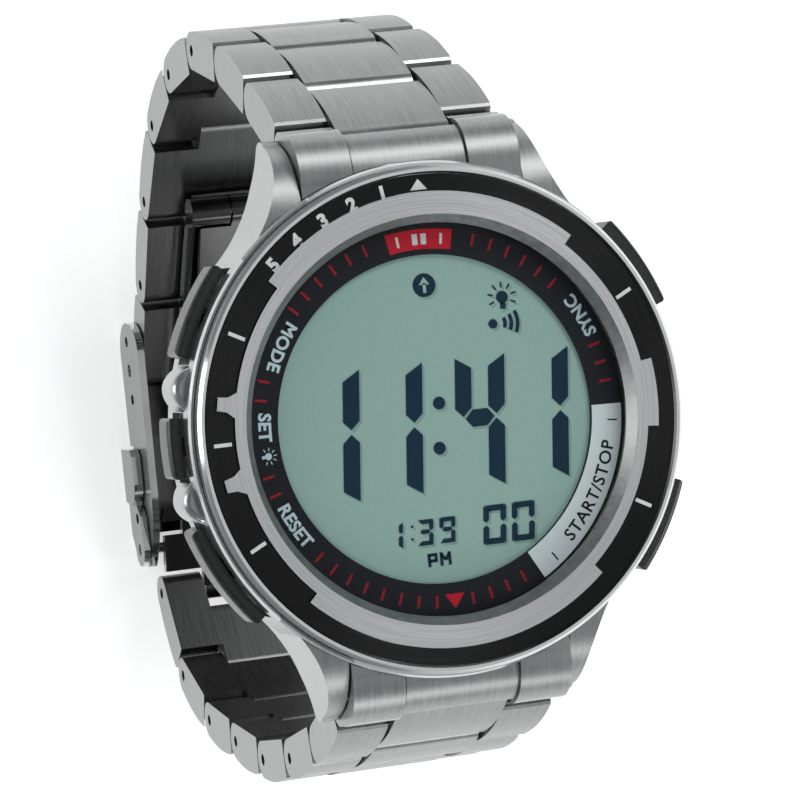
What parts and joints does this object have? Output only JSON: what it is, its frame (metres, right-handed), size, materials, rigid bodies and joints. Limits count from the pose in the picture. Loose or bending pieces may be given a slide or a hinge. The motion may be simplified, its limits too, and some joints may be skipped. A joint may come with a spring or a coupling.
{
  "type": "digital wristwatch",
  "caption": "Digital countdown wristwatch with side push-buttons on a tapered steel link bracelet, closed by a fold-over clasp with a safety flap.",
  "frame": {"origin": "on the flat outer face of the closed clasp, below the centre of the dial", "axes": "+Z out of the dial, +Y to 12 o'clock along the bracelet, +X to 3 o'clock"},
  "size_m": [0.0518, 0.0786, 0.0839],
  "materials": {
    "brushed_steel": "brushed",
    "polished_steel": "polished",
    "black_insert": "satin",
    "brushed_ring": "brushed",
    "crystal": "clear",
    "seal_rubber": "matte",
    "dial_print": "printed",
    "display": "satin",
    "backlight": "satin",
    "contact_rubber": "matte",
    "module_plastic": "moulded",
    "board": "gloss",
    "cell_steel": "satin",
    "spring_metal": "satin",
    "brass": "satin",
    "back_steel": "satin",
    "pin_steel": "satin",
    "link_steel": "brushed",
    "clasp_steel": "brushed",
    "blade_steel": "satin",
    "pusher_black": "satin"
  },
  "bodies": {
    "case": {"case_body": "brushed_steel", "bezel_ring": "polished_steel", "bezel_insert": "black_insert", "bezel_inner_ring": "brushed_ring", "crystal": "crystal", "sealing_rings": "seal_rubber", "dial_ring": "dial_print", "lcd_panel": "display", "backlight_panel": "backlight", "contact_strips": "contact_rubber", "module_frame": "module_plastic", "circuit_board": "board", "battery": "cell_steel", "battery_clip": "spring_metal", "buzzer_disc": "brass", "case_back": "back_steel", "case_back_screws": "pin_steel", "lug_bars_and_pins": "pin_steel", "end_link_upper": "link_steel", "end_link_lower": "link_steel", "pusher_springs": "spring_metal"},
    "pusher_sync": {"pusher_sync": "pusher_black"},
    "pusher_start": {"pusher_start": "pusher_black"},
    "pusher_reset": {"pusher_reset": "pusher_black"},
    "pusher_set": {"pusher_set": "pusher_black"},
    "pusher_mode": {"pusher_mode": "pusher_black"},
    "upper_link_1": {"upper_link_1": "link_steel"},
    "upper_link_2": {"upper_link_2": "link_steel"},
    "upper_link_3": {"upper_link_3": "link_steel", "upper_pin_3": "pin_steel"},
    "upper_link_4": {"upper_link_4": "link_steel", "upper_pin_4": "pin_steel"},
    "upper_link_5": {"upper_link_5": "link_steel", "upper_pin_5": "pin_steel"},
    "upper_link_6": {"upper_link_6": "link_steel", "upper_pin_6": "pin_steel"},
    "upper_link_7": {"upper_link_7": "link_steel", "upper_pin_7": "pin_steel"},
    "upper_link_8": {"upper_link_8": "link_steel"},
    "clasp_cover": {"clasp_cover": "clasp_steel", "clasp_pins": "pin_steel"},
    "safety_flap": {"safety_flap": "clasp_steel"},
    "blade_outer": {"blade_outer": "blade_steel", "blade_pin": "pin_steel"},
    "blade_inner": {"blade_inner": "blade_steel"},
    "lower_link_1": {"lower_link_1": "link_steel"},
    "lower_link_2": {"lower_link_2": "link_steel", "lower_pin_2": "pin_steel"},
    "lower_link_3": {"lower_link_3": "link_steel", "lower_pin_3": "pin_steel"},
    "lower_link_4": {"lower_link_4": "link_steel", "lower_pin_4": "pin_steel"},
    "lower_link_5": {"lower_link_5": "link_steel", "lower_pin_5": "pin_steel"},
    "lower_link_6": {"lower_link_6": "link_steel", "lower_pin_6": "pin_steel"},
    "lower_link_7": {"lower_link_7": "link_steel", "lower_pin_7": "pin_steel"}
  },
  "joints": [
    {"name": "press_sync", "type": "slide", "parent": "case", "child": "pusher_sync", "axis": [-0.866, -0.5, 0], "range_m": [0, 0.0009], "stiffness_N_per_m": 2500, "springref_m": -0.0005},
    {"name": "press_start", "type": "slide", "parent": "case", "child": "pusher_start", "axis": [-0.866, 0.5, 0], "range_m": [0, 0.0009], "stiffness_N_per_m": 2500, "springref_m": -0.0005},
    {"name": "press_reset", "type": "slide", "parent": "case", "child": "pusher_reset", "axis": [0.866, 0.5, 0], "range_m": [0, 0.0009], "stiffness_N_per_m": 2500, "springref_m": -0.0005},
    {"name": "press_set", "type": "slide", "parent": "case", "child": "pusher_set", "axis": [1, 0, 0], "range_m": [0, 0.0009], "stiffness_N_per_m": 2500, "springref_m": -0.0005},
    {"name": "press_mode", "type": "slide", "parent": "case", "child": "pusher_mode", "axis": [0.866, -0.5, 0], "range_m": [0, 0.0009], "stiffness_N_per_m": 2500, "springref_m": -0.0005},
    {"name": "upper_hinge_1", "type": "hinge", "parent": "case", "child": "upper_link_1", "pos_m": [0, 0.0272, 0.0755], "axis": [-1, 0, 0], "range_deg": [-40.51, 0]},
    {"name": "upper_hinge_2", "type": "hinge", "parent": "upper_link_1", "child": "upper_link_2", "pos_m": [0, 0.03263, 0.0657], "axis": [-1, 0, 0], "range_deg": [-10.53, 0]},
    {"name": "upper_hinge_3", "type": "hinge", "parent": "upper_link_2", "child": "upper_link_3", "pos_m": [0, 0.03701, 0.05539], "axis": [-1, 0, 0], "range_deg": [-5.25, 0]},
    {"name": "upper_hinge_4", "type": "hinge", "parent": "upper_link_3", "child": "upper_link_4", "pos_m": [0, 0.03933, 0.04444], "axis": [-1, 0, 0], "range_deg": [0, 5.94]},
    {"name": "upper_hinge_5", "type": "hinge", "parent": "upper_link_4", "child": "upper_link_5", "pos_m": [0, 0.03758, 0.03338], "axis": [-1, 0, 0], "range_deg": [0, 15.07]},
    {"name": "upper_hinge_6", "type": "hinge", "parent": "upper_link_5", "child": "upper_link_6", "pos_m": [0, 0.03267, 0.02331], "axis": [-1, 0, 0], "range_deg": [0, 13.02]},
    {"name": "upper_hinge_7", "type": "hinge", "parent": "upper_link_6", "child": "upper_link_7", "pos_m": [0, 0.02462, 0.01553], "axis": [-1, 0, 0], "range_deg": [0, 24.01]},
    {"name": "upper_hinge_8", "type": "hinge", "parent": "upper_link_7", "child": "upper_link_8", "pos_m": [0, 0.01544, 0.00911], "axis": [-1, 0, 0], "range_deg": [0, 29.01]},
    {"name": "cover_hinge", "type": "hinge", "parent": "upper_link_8", "child": "clasp_cover", "pos_m": [0, 0.00584, 0.00334], "axis": [-1, 0, 0], "range_deg": [-4.41, 0]},
    {"name": "flap_open", "type": "hinge", "parent": "clasp_cover", "child": "safety_flap", "pos_m": [0, -0.0146, 0.0029], "axis": [-1, 0, 0], "range_deg": [0, 95]},
    {"name": "clasp_unfold", "type": "hinge", "parent": "clasp_cover", "child": "blade_outer", "pos_m": [0, -0.0146, 0.0029], "axis": [1, 0, 0], "range_deg": [0, 165]},
    {"name": "knuckle_hinge", "type": "hinge", "parent": "blade_outer", "child": "blade_inner", "pos_m": [0, 0.0228, 0.0198], "axis": [-1, 0, 0], "range_deg": [0, 132.14]},
    {"name": "lower_hinge_1", "type": "hinge", "parent": "case", "child": "lower_link_1", "pos_m": [0, -0.027, 0.0755], "axis": [1, 0, 0], "range_deg": [-47.67, 0]},
    {"name": "lower_hinge_2", "type": "hinge", "parent": "lower_link_1", "child": "lower_link_2", "pos_m": [0, -0.03156, 0.06527], "axis": [1, 0, 0], "range_deg": [-17.2, 0]},
    {"name": "lower_hinge_3", "type": "hinge", "parent": "lower_link_2", "child": "lower_link_3", "pos_m": [0, -0.03407, 0.05436], "axis": [1, 0, 0], "range_deg": [0, 4.85]},
    {"name": "lower_hinge_4", "type": "hinge", "parent": "lower_link_3", "child": "lower_link_4", "pos_m": [0, -0.03525, 0.04322], "axis": [1, 0, 0], "range_deg": [0, 12.25]},
    {"name": "lower_hinge_5", "type": "hinge", "parent": "lower_link_4", "child": "lower_link_5", "pos_m": [0, -0.03427, 0.03206], "axis": [1, 0, 0], "range_deg": [0, 30.99]},
    {"name": "lower_hinge_6", "type": "hinge", "parent": "lower_link_5", "child": "lower_link_6", "pos_m": [0, -0.0329, 0.02094], "axis": [1, 0, 0], "range_deg": [0, 18.02]},
    {"name": "lower_hinge_7", "type": "hinge", "parent": "lower_link_6", "child": "lower_link_7", "pos_m": [0, -0.02871, 0.01056], "axis": [1, 0, 0], "range_deg": [-4.42, 0]}
  ],
  "couplings": [
    {"joint": "upper_hinge_1", "follows": "clasp_unfold", "ratio": -0.2454},
    {"joint": "upper_hinge_2", "follows": "clasp_unfold", "ratio": -0.0637},
    {"joint": "upper_hinge_3", "follows": "clasp_unfold", "ratio": -0.0317},
    {"joint": "upper_hinge_4", "follows": "clasp_unfold", "ratio": 0.0359},
    {"joint": "upper_hinge_5", "follows": "clasp_unfold", "ratio": 0.0912},
    {"joint": "upper_hinge_6", "follows": "clasp_unfold", "ratio": 0.0788},
    {"joint": "upper_hinge_7", "follows": "clasp_unfold", "ratio": 0.1454},
    {"joint": "upper_hinge_8", "follows": "clasp_unfold", "ratio": 0.1757},
    {"joint": "cover_hinge", "follows": "clasp_unfold", "ratio": -0.0266},
    {"joint": "knuckle_hinge", "follows": "clasp_unfold", "ratio": 0.8007},
    {"joint": "lower_hinge_1", "follows": "clasp_unfold", "ratio": -0.2888},
    {"joint": "lower_hinge_2", "follows": "clasp_unfold", "ratio": -0.1041},
    {"joint": "lower_hinge_3", "follows": "clasp_unfold", "ratio": 0.0293},
    {"joint": "lower_hinge_4", "follows": "clasp_unfold", "ratio": 0.0741},
    {"joint": "lower_hinge_5", "follows": "clasp_unfold", "ratio": 0.1877},
    {"joint": "lower_hinge_6", "follows": "clasp_unfold", "ratio": 0.1091},
    {"joint": "lower_hinge_7", "follows": "clasp_unfold", "ratio": -0.0267}
  ]
}
